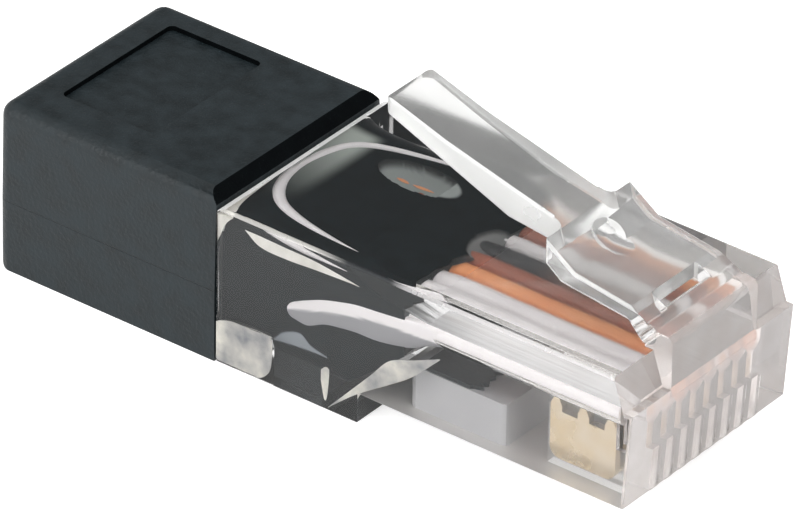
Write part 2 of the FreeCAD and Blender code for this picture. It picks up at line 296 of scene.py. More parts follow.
def addOverlay(tree, shader):
    # A mix after the base colour so far, which enters at A.
    mix = addNode(tree, "ShaderNodeMix", (-200, 400), data_type="RGBA")
    tree.links.new(shader.inputs["Base Color"].links[0].from_socket, mix.inputs["A"])
    tree.links.new(mix.outputs["Result"], shader.inputs["Base Color"])
    return mix


# Black over-moulded block

blackLook = {
    "low": (0.0035, 0.0075, 0.0092), "high": (0.0105, 0.0175, 0.021),
    "roughLow": 0.44, "roughHigh": 0.58, "specular": 0.38,
    "grainScale": 5200.0, "cloudScale": 1100.0, "bumpStrength": 0.7, "bumpDepth": 0.00006,
}
# Painted shade: the walls of the recess and of the relief along the plug get a darker, duller black, as if in
# shade
recessShadeLook = dict(blackLook, low=(0.001, 0.0015, 0.002), high=(0.002, 0.003, 0.0035),
                  roughLow=0.7, roughHigh=0.8, specular=0.03)
seamLook = {"height": 3.6, "half": 0.035, "depth": 0.00004}  # mm over the floor, mm, m


def buildBlackPlastic(look, seam):
    # Matt black with a fine parting line round it, where the two mould halves met.
    material, tree, shader = grainyMaterial("blackPlastic", **look)
    height = addPlaceAlong(tree, (-1100, -500), "Z")
    offset = addNode(tree, "ShaderNodeMath", (-700, -500), operation="SUBTRACT")
    offset.inputs[1].default_value = seam["height"] * mm
    distance = addNode(tree, "ShaderNodeMath", (-550, -500), operation="ABSOLUTE")
    line = addRange(tree, (-400, -500), (0.0, seam["half"] * mm))
    bump = addBump(tree, (-150, -400), 1.0, seam["depth"])
    link = tree.links.new
    link(height, offset.inputs[0])
    link(offset.outputs["Value"], distance.inputs[0])
    link(distance.outputs["Value"], line.inputs["Value"])
    link(line.outputs["Result"], bump.inputs["Height"])
    link(shader.inputs["Normal"].links[0].from_socket, bump.inputs["Normal"])
    link(bump.outputs["Normal"], shader.inputs["Normal"])
    return material


blackPlastic = buildBlackPlastic(blackLook, seamLook)
recessShadePlastic = grainyMaterial("recessShadePlastic", **recessShadeLook)[0]

blockLook = {
    "cutAt": 0.25, "smooth": 30,
    "recessFront": -5.4, "recessDepth": 0.25, "reliefRear": -0.65, "reliefDepth": 0.55,
    "wallTilt": 0.2, "spare": 0.001,  # how far a wall may lean, and mm to tell heights apart
}
lockLook = {"start": 2.73, "end": 5.47, "half": 4.43, "low": -1.5, "high": 1.2, "edge": 0.02, "smooth": 40}


def shadeRecess(mesh, look):
    # The second material, a painted shade, goes on the recess's walls and on the front of the relief along
    # the plug.
    spare = look["spare"] * mm
    top = max(vert.co.z for vert in mesh.vertices)
    floor = top - look["recessDepth"] * mm
    front = plugPlace(look["recessFront"], 0, 0).x
    relief = plugPlace(look["reliefRear"], 0, 0).x
    for face in mesh.polygons:
        inRecess = face.center.x < front and floor + spare < face.center.z < top - spare
        if inRecess and abs(face.normal.z) < look["wallTilt"]:
            if min(mesh.vertices[index].co.z for index in face.vertices) > floor - spare:
                face.material_index = 1
        onRelief = face.center.x > relief and face.center.z > top - look["reliefDepth"] * mm
        if onRelief and face.normal.x > facing:
            face.material_index = 1


def buildBlock(look):
    # The block alone: its tongue is cut off just inside the plug, where the filling takes over.
    piece = addPiece("blackBlock", mergedCopy("terminator_body", "blackBlock"))
    shape = bmesh.new()
    shape.from_mesh(piece.data)
    geometry = shape.verts[:] + shape.edges[:] + shape.faces[:]
    cut = bmesh.ops.bisect_plane(shape, geom=geometry, plane_co=plugPlace(look["cutAt"], 0, 0),
                                 plane_no=(1, 0, 0), clear_outer=True)
    rim = [item for item in cut["geom_cut"] if isinstance(item, bmesh.types.BMEdge)]
    bmesh.ops.holes_fill(shape, edges=rim)
    shape.to_mesh(piece.data)
    shape.free()
    flattenFaces(piece, look["smooth"])
    dress(piece, blackPlastic)
    piece.data.materials.append(recessShadePlastic)
    shadeRecess(piece.data, look)
    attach(piece, "plug")
    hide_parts("terminator_body")


def buildLockFoot(look):
    # The foot of the filling, which comes down through the opening in the plug's floor.
    shape = bmesh.new()
    bmesh.ops.create_cube(shape, size=1.0)
    for vert in shape.verts:
        vert.co = plugPlace(look["start"] if vert.co.x < 0 else look["end"],
                            -look["half"] if vert.co.y < 0 else look["half"],
                            look["low"] if vert.co.z < 0 else look["high"])
    bmesh.ops.bevel(shape, geom=shape.edges[:], offset=look["edge"] * mm, segments=2, affect="EDGES")
    piece = addPiece("lockFoot", meshFrom(shape, "lockFoot"))
    flattenFaces(piece, look["smooth"])
    dress(piece, blackPlastic)
    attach(piece, "plug")


buildLockFoot(lockLook)
buildBlock(blockLook)
print("black block built")


# Black filling in the plug, as it shows through the clear walls. Where air was trapped it is painted paler, a
# painted reflection of the air gaps.

fillTint = dict(blackLook, low=(0.002, 0.006, 0.008), high=(0.005, 0.011, 0.014), specular=0.06,
                bumpStrength=0.0)
fillLook = {
    "rear": 0.1, "half": 4.79, "floor": -0.4, "roof": 5.4, "corner": 1.3, "smooth": 40,
    "mouthLength": 2.0, "mouthFlare": 0.45,
    "taperStart": 6.5, "taperEnd": 11.0, "rowHalf": 4.086, "rowLow": 3.37, "rowHigh": 4.43,
    # The filling stands a little into the walls, but is loose low down at the rear
    "bond": 0.02, "gap": -0.06, "gapBelow": 0.6, "gapUntil": 2.6, "gapFade": 0.2,
    # How far it ran forward: place across and x, with a ragged edge
    "frontByWidth": [(-4.8, 9.75), (-3.5, 9.7), (-2.5, 9.85), (-1.5, 9.8), (-0.5, 10.4), (0.4, 10.7),
                     (1.5, 10.5), (4.8, 10.5)],
    "ragged": 0.28, "raggedScale": (1.9, 0.7), "raggedSeed": 3.1,
    "counts": (90, 24, 48, 40), "rows": 110,
    # Hollows under the roof: middle and half size (x, y), depth, where they end, colour of their painted
    # reflection and how much of it
    "voids": [
        {"centre": (5.05, 2.15), "half": (2.2, 1.0), "depth": 1.1, "until": 6.55,
         "tone": (0.42, 0.46, 0.45), "cover": 1.0},
        {"centre": (10.3, 0.25), "half": (0.8, 1.25), "depth": 0.5, "until": 99,
         "tone": (0.27, 0.28, 0.28), "cover": 0.85},
    ],
    "voidFade": 0.25, "voidRim": 0.8, "roofBand": 0.3,
    # Painted reflection, paler under the roof of the bell mouth: how it fades along x, towards the near side
    # and the far corner
    "mouthPale": (2.15, 1.2), "mouthNear": (-3.6, 4.0), "mouthFar": (3.9, 3.2),
    "mouthReflectionTone": (0.50, 0.55, 0.51),
    # Air low on the near wall, shown as a painted reflection: x, lowest and highest place
    "crescent": [(2.79, 0.5, 0.54), (3.35, 0.6, 1.11), (4.32, 0.72, 1.44), (4.89, 0.76, 1.06),
                 (5.85, 0.8, 0.83)],
    "crescentReflectionTone": (0.30, 0.33, 0.36), "crescentSoft": 0.08,
}


def buildFillPlastic(look):
    material, tree, shader = grainyMaterial("fillPlastic", **look)
    # Painted reflection: a colour attribute lightens the black where air gaps would give back light
    voids = addNode(tree, "ShaderNodeVertexColor", (-900, 500), layer_name="gapReflectionTone")
    paintedReflection = addOverlay(tree, shader)
    tree.links.new(voids.outputs["Alpha"], paintedReflection.inputs["Factor"])
    tree.links.new(voids.outputs["Color"], paintedReflection.inputs["B"])
    return material


def outlineRound(half, low, high, radius, counts):
    # Points round a rounded rectangle: roof, near corner, near side, corner, floor, corner, far side, corner.
    roofCount, cornerCount, sideCount, floorCount = counts
    points = []

    def straight(a, b, count):
        for step in range(count):
            share = step / count
            points.append((a[0] + (b[0] - a[0]) * share, a[1] + (b[1] - a[1]) * share))

    def arc(centre, startAngle):
        for step in range(cornerCount):
            angle = math.radians(startAngle + 90 * step / cornerCount)
            points.append((centre[0] + radius * math.cos(angle), centre[1] + radius * math.sin(angle)))

    inY = half - radius
    straight((inY, high), (-inY, high), roofCount)
    arc((-inY, high - radius), 90)
    straight((-half, high - radius), (-half, low + radius), sideCount)
    arc((-inY, low + radius), 180)
    straight((-inY, low), (inY, low), floorCount)
    arc((inY, low + radius), 270)
    straight((half, low + radius), (half, high - radius), sideCount)
    arc((inY, high - radius), 0)
    return points


def fillFront(look, y, z):
    # How far forward the filling ran at a point of its outline.
    scaleY, scaleZ = look["raggedScale"]
    rough = noise.noise(Vector((y * scaleY, z * scaleZ, look["raggedSeed"])))
    return alongPath(look["frontByWidth"], y)[0] + look["ragged"] * rough


def fillTaper(look, x):
    # How far a place lies along the throat, where the cavity narrows to the row of wires.
    return max(0.0, (x - look["taperStart"]) / (look["taperEnd"] - look["taperStart"]))


def fillPlace(look, x, y0, z0):
    # A point of the outline at x: it flares out in the bell mouth and is held in by the throat.
    middle = (look["floor"] + look["roof"]) / 2
    loose = smoothStep(look["gapBelow"] + look["gapFade"], look["gapBelow"], z0)
    loose *= smoothStep(look["gapUntil"] + look["gapFade"], look["gapUntil"], x)
    bond = look["bond"] + (look["gap"] - look["bond"]) * loose
    grow = bond
    if x < look["mouthLength"]:
        turn = math.acos(1 - x / look["mouthLength"])
        grow += look["mouthFlare"] * (1 - math.sin(turn))
    y = y0 * (look["half"] + grow) / look["half"]
    z = middle + (z0 - middle) * (look["roof"] - middle + grow) / (look["roof"] - middle)
    if x > look["taperStart"]:
        taper = fillTaper(look, x)
        half = look["half"] + (look["rowHalf"] - look["half"]) * taper + bond
        low = look["floor"] + (look["rowLow"] - look["floor"]) * taper - bond
        high = look["roof"] + (look["rowHigh"] - look["roof"]) * taper + bond
        y = min(max(y, -half), half)
        z = min(max(z, low), high)
    return y, z


def underRoof(look, x, y):
    # The painted reflection tone of a point under the roof and how deep it is sunk.
    tone, sunk = (0, 0, 0, 0), 0.0
    pale = smoothStep(*look["mouthPale"], x) * smoothStep(*look["mouthNear"], y)
    pale *= smoothStep(*look["mouthFar"], y)
    if pale > 0:
        tone = (*look["mouthReflectionTone"], pale)
    for void in look["voids"]:
        reach = ((x - void["centre"][0]) / void["half"][0]) ** 2
        reach += ((y - void["centre"][1]) / void["half"][1]) ** 2
        if reach < 1:
            ending = smoothStep(void["until"], void["until"] - look["voidFade"], x)
            sunk += void["depth"] * math.sqrt(1 - reach) * ending
            tone = (*void["tone"], void["cover"] * smoothStep(1.0, look["voidRim"], reach))
    return tone, sunk


def crescentShare(look, x, z):
    # How far a point lies inside the crescent of air on the near wall, soft at its edges; it is painted pale
    # as a reflection.
    path, soft = look["crescent"], look["crescentSoft"] / 2
    if not path[0][0] <= x <= path[-1][0]:
        return 0.0
    low, high = alongPath(path, x)
    return smoothStep(low - soft, low + soft, z) * smoothStep(high + soft, high - soft, z)


def buildFilling(look, material):
    base = outlineRound(look["half"], look["floor"], look["roof"], look["corner"], look["counts"])
    rows = []
    tones = []
    for step in range(look["rows"] + 1):
        share = step / look["rows"]
        row = []
        for y0, z0 in base:
            x = look["rear"] + (fillFront(look, y0, z0) - look["rear"]) * share
            y, z = fillPlace(look, x, y0, z0)
            tone = (0, 0, 0, 0)
            # Painted reflection: pale tones under the roof and in the crescent on the near wall
            if z0 > look["roof"] - look["roofBand"]:
                tone, sunk = underRoof(look, x, y)
                z -= sunk
            if y0 < 0 and z0 < look["roof"] / 2:
                crescent = crescentShare(look, x, z0)
                if crescent > 0:
                    tone = (*look["crescentReflectionTone"], crescent)
            row.append(plugPlace(x, y, z))
            tones.append(tone)
        rows.append(row)
    mesh = gridMesh("blackFilling", rows)
    layer = mesh.color_attributes.new("gapReflectionTone", "FLOAT_COLOR", "POINT")
    for index, tone in enumerate(tones):
        layer.data[index].color = tone
    smoothByAngle(mesh, look["smooth"])
    piece = addPiece("blackFilling", mesh)
    dress(piece, material)
    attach(piece, "plug")


buildFilling(fillLook, buildFillPlastic(fillTint))

# Painted shade: a dark sheet over the strain relief
shadeSheetLook = {
    "rear": 10.7, "front": 13.7, "half": 4.2, "low": 2.11, "high": 2.3, "counts": 90, "smooth": 40,
    "ragged": 0.45, "raggedScale": 3.1, "raggedSeed": (0.4, 7.7),
    # Off the front corners: mm at the ends, and the shares of the half width that it covers
    "cornerCut": 0.4, "cornerFrom": 0.85, "cornerShare": 0.15,
}


def buildShadeSheet(look):
    # A thin dark sheet over the strain relief, under the wires: painted shade, standing in the clear plastic
    # in front of the filling.
    top = []
    for step in range(look["counts"] + 1):
        y = -look["half"] + 2 * look["half"] * step / look["counts"]
        outer = max(0.0, abs(y) / look["half"] - look["cornerFrom"])
        corner = look["cornerCut"] * outer / look["cornerShare"]
        rough = noise.noise(Vector((y * look["raggedScale"], *look["raggedSeed"])))
        top.append((look["front"] - corner + look["ragged"] * rough, y))
    outline = top + [(look["rear"], look["half"]), (look["rear"], -look["half"])]
    rows = [[plugPlace(x, y, z) for x, y in outline] for z in (look["low"], look["high"])]
    mesh = gridMesh("shadeSheet", rows)
    smoothByAngle(mesh, look["smooth"])
    piece = addPiece("shadeSheet", mesh)
    dress(piece, blackPlastic)
    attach(piece, "plug")


buildShadeSheet(shadeSheetLook)
print("black filling built")


# Thin sheets in the clear walls, pale against the filling: painted highlights, streaky in places, and orange
# streaks that are a painted reflection of the orange wire

paleHighlightLook = {
    "low": (0.70, 0.68, 0.62), "high": (0.97, 0.95, 0.90),
    "roughLow": 0.5, "roughHigh": 0.6,
    "grainScale": 900.0, "cloudScale": 700.0, "bumpStrength": 0.0, "bumpDepth": 0.00001,
}
streakyHighlightLook = dict(paleHighlightLook, low=(0.22, 0.23, 0.26), high=(0.92, 0.89, 0.80))
orangeReflectionLook = dict(paleHighlightLook, low=(0.80, 0.32, 0.14), high=(0.90, 0.40, 0.18))
filmKinds = {
    "pale": grainyMaterial("paleHighlightFilm", **paleHighlightLook)[0],
    "streaky": grainyMaterial("streakyHighlightFilm", **streakyHighlightLook)[0],
    "orange": grainyMaterial("orangeReflectionFilm", **orangeReflectionLook)[0],
}
filmCut = {"thick": 0.02, "steps": 60, "smooth": 40}
# Each lies beside the near wall (rows of x, low z, high z) or under the roof (rows of x, low y, high y)
filmLooks = {
    "mouthFilm": {"kind": "streaky", "near": -5.8, "rows": [
        (0.04, -1.3, 0.58), (0.2, -1.36, 0.7), (0.91, -1.36, 0.92), (2.09, -1.36, 0.95), (2.5, -1.34, 0.98),
        (2.95, -0.95, 1.02), (3.12, -0.5, 0.9), (3.17, 0.0, 0.7)]},
    "stripFilm": {"kind": "streaky", "near": -5.5, "rows": [
        (5.75, -0.2, 0.35), (5.95, -1.1, 0.55), (6.1, -0.9, 0.58), (6.2, 0.2, 0.5)]},
    "wedgeFilm": {"kind": "streaky", "near": -5.5, "rows": [
        (6.15, -1.46, -1.44), (7.5, -0.3, 0.07), (8.5, 0.42, 1.2), (9.44, 1.05, 2.27), (10.7, 1.97, 2.83),
        (12.2, 3.45, 3.5)]},
    "leafFilm": {"kind": "pale", "near": -5.3, "rows": [
        (1.41, 5.7, 5.71), (2.2, 5.19, 5.71), (3.67, 5.11, 5.67), (5.24, 5.21, 5.64), (7.3, 5.31, 5.39),
        (7.7, 5.31, 5.32)]},
    "cornerFilm": {"kind": "pale", "near": -5.6, "rows": [
        (0.03, 4.7, 6.13), (0.25, 5.2, 6.13), (0.5, 5.75, 6.13), (0.8, 6.1, 6.13)]},
    "mouthRim": {"kind": "pale", "roof": 6.1, "rows": [
        (0.03, -5.65, 4.5), (0.2, -5.65, 1.5), (0.35, -5.65, -2.5), (0.5, -5.65, -4.4), (0.8, -5.65, -5.4)]},
    "firstStreak": {"kind": "orange", "roof": 5.36, "rows": [
        (4.16, 1.59, 1.63), (4.4, 1.52, 1.7), (4.7, 1.5, 1.66), (4.87, 1.54, 1.57)]},
    "secondStreak": {"kind": "orange", "roof": 5.36, "rows": [
        (5.06, 1.58, 1.62), (5.4, 1.52, 1.7), (5.8, 1.56, 1.72), (6.17, 1.64, 1.66)]},
}


def buildFilm(name, look, cut):
    rows = []
    first, last = look["rows"][0][0], look["rows"][-1][0]
    for step in range(cut["steps"] + 1):
        x = first + (last - first) * step / cut["steps"]
        low, high = alongPath(look["rows"], x)
        row = []
        for depth, edge in ((0, low), (cut["thick"], low), (cut["thick"], high), (0, high)):
            if "near" in look:
                row.append(plugPlace(x, look["near"] + depth, edge))
            else:
                row.append(plugPlace(x, edge, look["roof"] - depth))
        rows.append(row)
    mesh = gridMesh(name, rows)
    smoothByAngle(mesh, cut["smooth"])
    piece = addPiece(name, mesh)
    dress(piece, filmKinds[look["kind"]])
    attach(piece, "plug")


for filmName, filmLook in filmLooks.items():
    buildFilm(filmName, filmLook, filmCut)
print("films built,", len(filmLooks))


# Clear polycarbonate

clearLook = {
    "low": (0.975, 0.965, 0.96), "high": (0.99, 0.985, 0.98),
    "roughLow": 0.02, "roughHigh": 0.06, "transmission": 1.0, "ior": 1.49,
    "grainScale": 350.0, "cloudScale": 260.0, "bumpStrength": 0.05, "bumpDepth": 0.00002,
}
# The latch and the front are polished less, so they are a little milky
latchLook = dict(clearLook, low=(0.86, 0.86, 0.85), high=(0.93, 0.93, 0.92), roughLow=0.08, roughHigh=0.16,
                 transmission=0.88)
sideLook = dict(clearLook, low=(0.87, 0.87, 0.86), high=(0.93, 0.93, 0.92), roughLow=0.2, roughHigh=0.3,
                transmission=0.55)
frontLook = dict(clearLook, low=(0.84, 0.77, 0.74), high=(0.98, 0.92, 0.90), roughLow=0.07, roughHigh=0.17,
                 cloudScale=900.0, transmission=0.72)
bevelLook = dict(frontLook, low=(0.90, 0.81, 0.77), high=(1.0, 0.94, 0.91), roughLow=0.05, roughHigh=0.12,
                 transmission=0.75)
# Sides of the contact slots, walls of the pocket, the nose's underside, and the frosted edge round the rear,
# whose milky white is a painted highlight
satinLook = dict(clearLook, roughLow=0.15, roughHigh=0.25, transmission=0.92)
mattLook = dict(clearLook, low=(0.53, 0.53, 0.55), high=(0.60, 0.60, 0.62), roughLow=0.45, roughHigh=0.6,
                transmission=0.35)
baseLook = dict(clearLook, low=(0.78, 0.75, 0.72), high=(0.90, 0.87, 0.84), roughLow=0.35, roughHigh=0.5,
                transmission=0.5)
rimHighlightLook = dict(clearLook, roughLow=0.2, roughHigh=0.35, transmission=0.3)
edgeLook = dict(clearLook, roughLow=0.2, roughHigh=0.3, transmission=0.6)
# Painted highlights and a painted dark band on the plug's rounded upper edges: colour along x, in mm
edgeLightBands = [
    (0.0, (0.45, 0.45, 0.44)), (1.0, (0.92, 0.90, 0.85)), (5.4, (0.90, 0.88, 0.83)),
    (7.2, (0.03, 0.035, 0.04)), (9.6, (0.03, 0.035, 0.04)),
    (10.4, (0.80, 0.78, 0.78)), (22.5, (0.92, 0.90, 0.89)),
]
# The roofs of the wire channels and of the throat, with marks along the way the core of the mould was drawn
drawnLook = dict(clearLook, roughLow=0.3, roughHigh=0.4)
throatLook = dict(clearLook, roughLow=0.18, roughHigh=0.26)
drawMarks = {"scale": (90, 2600, 2600), "detail": 2.0, "strength": 0.5}


def buildDrawnPlastic(name, look, marks, depth):
    material, tree, shader = grainyMaterial(name, **look)
    place = addNode(tree, "ShaderNodeTexCoord", (-1100, -500))
    stretch = addNode(tree, "ShaderNodeMapping", (-900, -500))
    stretch.inputs["Scale"].default_value = marks["scale"]
    streaks = addNode(tree, "ShaderNodeTexNoise", (-700, -500))
    streaks.inputs["Scale"].default_value = 1.0
    streaks.inputs["Detail"].default_value = marks["detail"]
    bump = addBump(tree, (-150, -400), marks["strength"], depth)
    link = tree.links.new
    link(place.outputs["Object"], stretch.inputs["Vector"])
    link(stretch.outputs["Vector"], streaks.inputs["Vector"])
    link(streaks.outputs["Fac"], bump.inputs["Height"])
    link(bump.outputs["Normal"], shader.inputs["Normal"])
    return material


def buildEdgeLightPlastic(look, bands):
    material, tree, shader = grainyMaterial("edgeLightPlastic", **look)
    span = [(plugRear + x) * mm for x, colour in (bands[0], bands[-1])]
    along = addRange(tree, (-900, 500), span)
    ramp = addRamp(tree, (-600, 500), bands[0][1], bands[-1][1], (0.0, 1.0))
    for x, colour in bands[1:-1]:
        element = ramp.color_ramp.elements.new(x / bands[-1][0])
        element.color = (*colour, 1)
    link = tree.links.new
    link(addPlaceAlong(tree, (-1300, 500), "X"), along.inputs["Value"])
    link(along.outputs["Result"], ramp.inputs["Fac"])
    link(ramp.outputs["Color"], shader.inputs["Base Color"])
    return material


moulded = {
    "clear": grainyMaterial("clearPlastic", **clearLook)[0],
    "latch": grainyMaterial("latchPlastic", **latchLook)[0],
    "front": grainyMaterial("frontPlastic", **frontLook)[0],
    "bevel": grainyMaterial("bevelPlastic", **bevelLook)[0],
    "satin": grainyMaterial("satinPlastic", **satinLook)[0],
    "side": grainyMaterial("sidePlastic", **sideLook)[0],
    "base": grainyMaterial("basePlastic", **baseLook)[0],
    "edge": buildEdgeLightPlastic(edgeLook, edgeLightBands),
    "matt": grainyMaterial("mattPlastic", **mattLook)[0],
    "rim": grainyMaterial("rimHighlightPlastic", **rimHighlightLook)[0],
    "drawn": buildDrawnPlastic("drawnPlastic", drawnLook, drawMarks, 0.00006),
    "throat": buildDrawnPlastic("throatPlastic", throatLook, drawMarks, 0.00004),
}

# Thin webs close the front ends of the contact slots: foot and lean of the front face, size, and the row
webLook = {
    "foot": 22.2, "lean": 0.0722, "thick": 0.35, "inset": 0.015, "top": 2.15, "half": 0.27,
    "spacing": 1.016, "count": 8,
}
# A shallow round dent on the slope of the latch: its middle, the way it faces, size, and steps round its ball
dentLook = {
    "place": (16.83, 0.0, 8.93), "way": (0.57, 0.0, 0.82), "radius": 0.85, "depth": 0.22, "steps": (96, 48),
}
# The line that the latch bends about (x, z), the roll round it, and the heights that the bend lies between
bendLook = {"place": (21.2, 7.15), "radius": 0.545, "width": 6.06, "steps": 48, "low": 8.35, "high": 8.95}
mouldingLook = {
    "smooth": 32,
    # Finish of the faces whose middle lies in a box (lowest and highest corner) and that face a way
    "zones": [
        ("side", (-9, -9, 7.5), (30, 9, 30), (0, -1, 0)),
        ("side", (-9, -9, 7.5), (30, 9, 30), (0, 1, 0)),
        ("latch", (-9, -9, 7.5), (30, 9, 30), (0, 0, 0)),
        ("matt", (10.1, -4.35, 0.05), (15.4, 4.35, 2.15), (0, 0, 0)),
        ("drawn", (10.5, -4.2, 4.3), (21.4, 4.2, 4.55), (0, 0, -1)),
        ("throat", (6, -5, 4.2), (11.3, 5, 5.35), (0, 0, -1)),
        ("satin", (17, -4, -0.1), (22.6, 4, 4.2), (0, 1, 0)),
        ("satin", (17, -4, -0.1), (22.6, 4, 4.2), (0, -1, 0)),
        ("base", (8, -6, -0.05), (23, 6, 0.05), (0, 0, -1)),
        ("bevel", (20.9, -6, 4.87), (23, 6, 7.5), (0, 0, 0)),
        ("front", (20.9, -6, -0.5), (23, 6, 4.88), (0, 0, 0)),
        # The rim finish paints a highlight on the rear rim; the edge finish paints highlights and a dark band
        # on the upper edges
        ("rim", (-0.1, -6, 5.0), (0.6, 6, 7.0), (-1, 0, 0)),
        ("edge", (0, -6, 6.34), (22.5, -5.68, 6.499), (0, 0, 0)),
        ("edge", (0, 5.68, 6.34), (22.5, 6, 6.499), (0, 0, 0)),
    ],
}


def finishOf(face, zones):
    x, y, z = face.center.x / mm - plugRear, face.center.y / mm, face.center.z / mm - noseBase
    for name, low, high, way in zones:
        inside = all(a < value < b for a, value, b in zip(low, (x, y, z), high))
        if inside and (not any(way) or face.normal.dot(Vector(way)) > facing):
            return name
    return "clear"


def buildPinRow():
    # Geometry nodes: copies of a shape in a row across the plug, even about its middle.
    tree = bpy.data.node_groups.new("pinRow", "GeometryNodeTree")
    face = tree.interface
    face.new_socket("Shape", in_out="INPUT", socket_type="NodeSocketGeometry")
    face.new_socket("Count", in_out="INPUT", socket_type="NodeSocketInt")
    face.new_socket("Spacing", in_out="INPUT", socket_type="NodeSocketFloat")
    face.new_socket("Finish", in_out="INPUT", socket_type="NodeSocketMaterial")
    face.new_socket("Row", in_out="OUTPUT", socket_type="NodeSocketGeometry")
    inputs = addNode(tree, "NodeGroupInput", (-900, 0))
    gaps = addNode(tree, "ShaderNodeMath", (-700, 200), operation="SUBTRACT")
    gaps.inputs[1].default_value = 1.0
    half = addNode(tree, "ShaderNodeMath", (-520, 200), operation="MULTIPLY")
    half.inputs[1].default_value = -0.5
    first = addNode(tree, "ShaderNodeMath", (-340, 200), operation="MULTIPLY")
    start = addNode(tree, "ShaderNodeCombineXYZ", (-160, 200))
    step = addNode(tree, "ShaderNodeCombineXYZ", (-160, 0))
    line = addNode(tree, "GeometryNodeMeshLine", (40, 100))
    copies = addNode(tree, "GeometryNodeInstanceOnPoints", (240, 0))
    real = addNode(tree, "GeometryNodeRealizeInstances", (440, 0))
    finish = addNode(tree, "GeometryNodeSetMaterial", (640, 0))
    outputs = addNode(tree, "NodeGroupOutput", (840, 0))
    link = tree.links.new
    link(inputs.outputs["Count"], gaps.inputs[0])
    link(gaps.outputs["Value"], half.inputs[0])
    link(half.outputs["Value"], first.inputs[0])
    link(inputs.outputs["Spacing"], first.inputs[1])
    link(first.outputs["Value"], start.inputs["Y"])
    link(inputs.outputs["Spacing"], step.inputs["Y"])
    link(inputs.outputs["Count"], line.inputs["Count"])
    link(start.outputs["Vector"], line.inputs["Start Location"])
    link(step.outputs["Vector"], line.inputs["Offset"])
    link(line.outputs["Mesh"], copies.inputs["Points"])
    link(inputs.outputs["Shape"], copies.inputs["Instance"])
    link(copies.outputs["Instances"], real.inputs["Geometry"])
    link(real.outputs["Geometry"], finish.inputs["Geometry"])
    link(inputs.outputs["Finish"], finish.inputs["Material"])
    link(finish.outputs["Geometry"], outputs.inputs["Row"])
    return tree


def buildWebs(look):
    # One web at the middle of the plug, repeated at each contact slot.
    foot = look["foot"] - look["inset"]
    top = foot + look["lean"] * look["top"]
    outline = [(top, look["top"]), (foot, look["inset"]), (foot - look["thick"], look["inset"]),
               (top - look["thick"], look["top"])]
    rows = [[plugPlace(x, side * look["half"], z) for x, z in outline] for side in (-1, 1)]
    webs = addPiece("websPart", gridMesh("websPart", rows))
    row = webs.modifiers.new("pinRow", "NODES")
    row.node_group = buildPinRow()
    sockets = {item.name: item.identifier for item in row.node_group.interface.items_tree}
    row[sockets["Count"]] = look["count"]
    row[sockets["Spacing"]] = look["spacing"] * mm
    row[sockets["Finish"]] = moulded["front"]
    applyModifiers(webs)
    return webs


def buildBendRoll(look):
    # Fills the gap between the two solids at the latch's root.
    x, z = look["place"]
    rows = []
    for y in (-look["width"] / 2, look["width"] / 2):
        row = []
        for step in range(look["steps"]):
            angle = math.radians(-360 * step / look["steps"])
            across, rise = look["radius"] * math.cos(angle), look["radius"] * math.sin(angle)
            row.append(plugPlace(x + across, y, z + rise))
        rows.append(row)
    return addPiece("jointPart", gridMesh("jointPart", rows))


def buildDentBall(look):
    # The ball that cuts a dent of this radius and depth.
    depth = look["depth"]
    ball = (look["radius"] ** 2 + depth ** 2) / (2 * depth)
    middle = plugPlace(*look["place"]) + Vector(look["way"]).normalized() * (ball - depth) * mm
    around, rising = look["steps"]
    shape = bmesh.new()
    bmesh.ops.create_uvsphere(shape, u_segments=around, v_segments=rising, radius=ball * mm,
                              matrix=Matrix.Translation(middle))
    return addPiece("dentPart", meshFrom(shape, "dentPart"))


def buildMoulding(look, bend):
    # Plug and latch are one moulding, so their solids are joined over the line that the latch bends about.
    plug = addPiece("clearMoulding", mergedCopy("plug_housing", "clearMoulding"))
    latch = addPiece("latchPart", mergedCopy("latch_lever", "latchPart"))
    operands = [
        ("UNION", buildBendRoll(bend)), ("UNION", latch), ("UNION", buildWebs(webLook)),
        ("DIFFERENCE", buildDentBall(dentLook)),
    ]
    for operation, operand in operands:
        join = plug.modifiers.new("join", "BOOLEAN")
        join.operation = operation
        join.solver = "EXACT"
        join.object = operand
    applyModifiers(plug)
    sortMesh(plug)
    for operation, operand in operands:
        bpy.data.objects.remove(operand)
    flattenFaces(plug, look["smooth"])
    mesh = plug.data
    mesh.materials.clear()
    finishes = list(moulded)
    for name in finishes:
        mesh.materials.append(moulded[name])
    for face in mesh.polygons:
        face.material_index = finishes.index(finishOf(face, look["zones"]))
    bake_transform(plug)
    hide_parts("plug_housing", "latch_lever")
    print("clear moulding built,", len(mesh.polygons), "faces")


buildMoulding(mouldingLook, bendLook)


# Gold contacts, copper and wires

goldLook = {
    "low": (0.58, 0.45, 0.27), "high": (0.66, 0.56, 0.42),
    "roughLow": 0.22, "roughHigh": 0.38, "metallic": 1.0,
    "grainScale": 6000.0, "cloudScale": 900.0, "bumpStrength": 0.2, "bumpDepth": 0.00001,
}
copperLook = dict(goldLook, low=(0.72, 0.38, 0.22), high=(0.82, 0.48, 0.30))
whiteLook = {
    "low": (0.93, 0.90, 0.91), "high": (0.98, 0.95, 0.96),
    "roughLow": 0.35, "roughHigh": 0.5,
    "grainScale": 5000.0, "cloudScale": 500.0, "bumpStrength": 0.15, "bumpDepth": 0.00002,
}
orangeWireLook = dict(whiteLook, low=(0.96, 0.35, 0.13), high=(1.0, 0.43, 0.18))
redBrownLook = dict(whiteLook, low=(0.36, 0.11, 0.06), high=(0.46, 0.15, 0.09))
brownLook = dict(whiteLook, low=(0.20, 0.08, 0.045), high=(0.28, 0.11, 0.065))
stainLook = {"full": 12.6, "gone": 15.6, "colour": (0.012, 0.015, 0.018)}  # where it starts to fade and ends


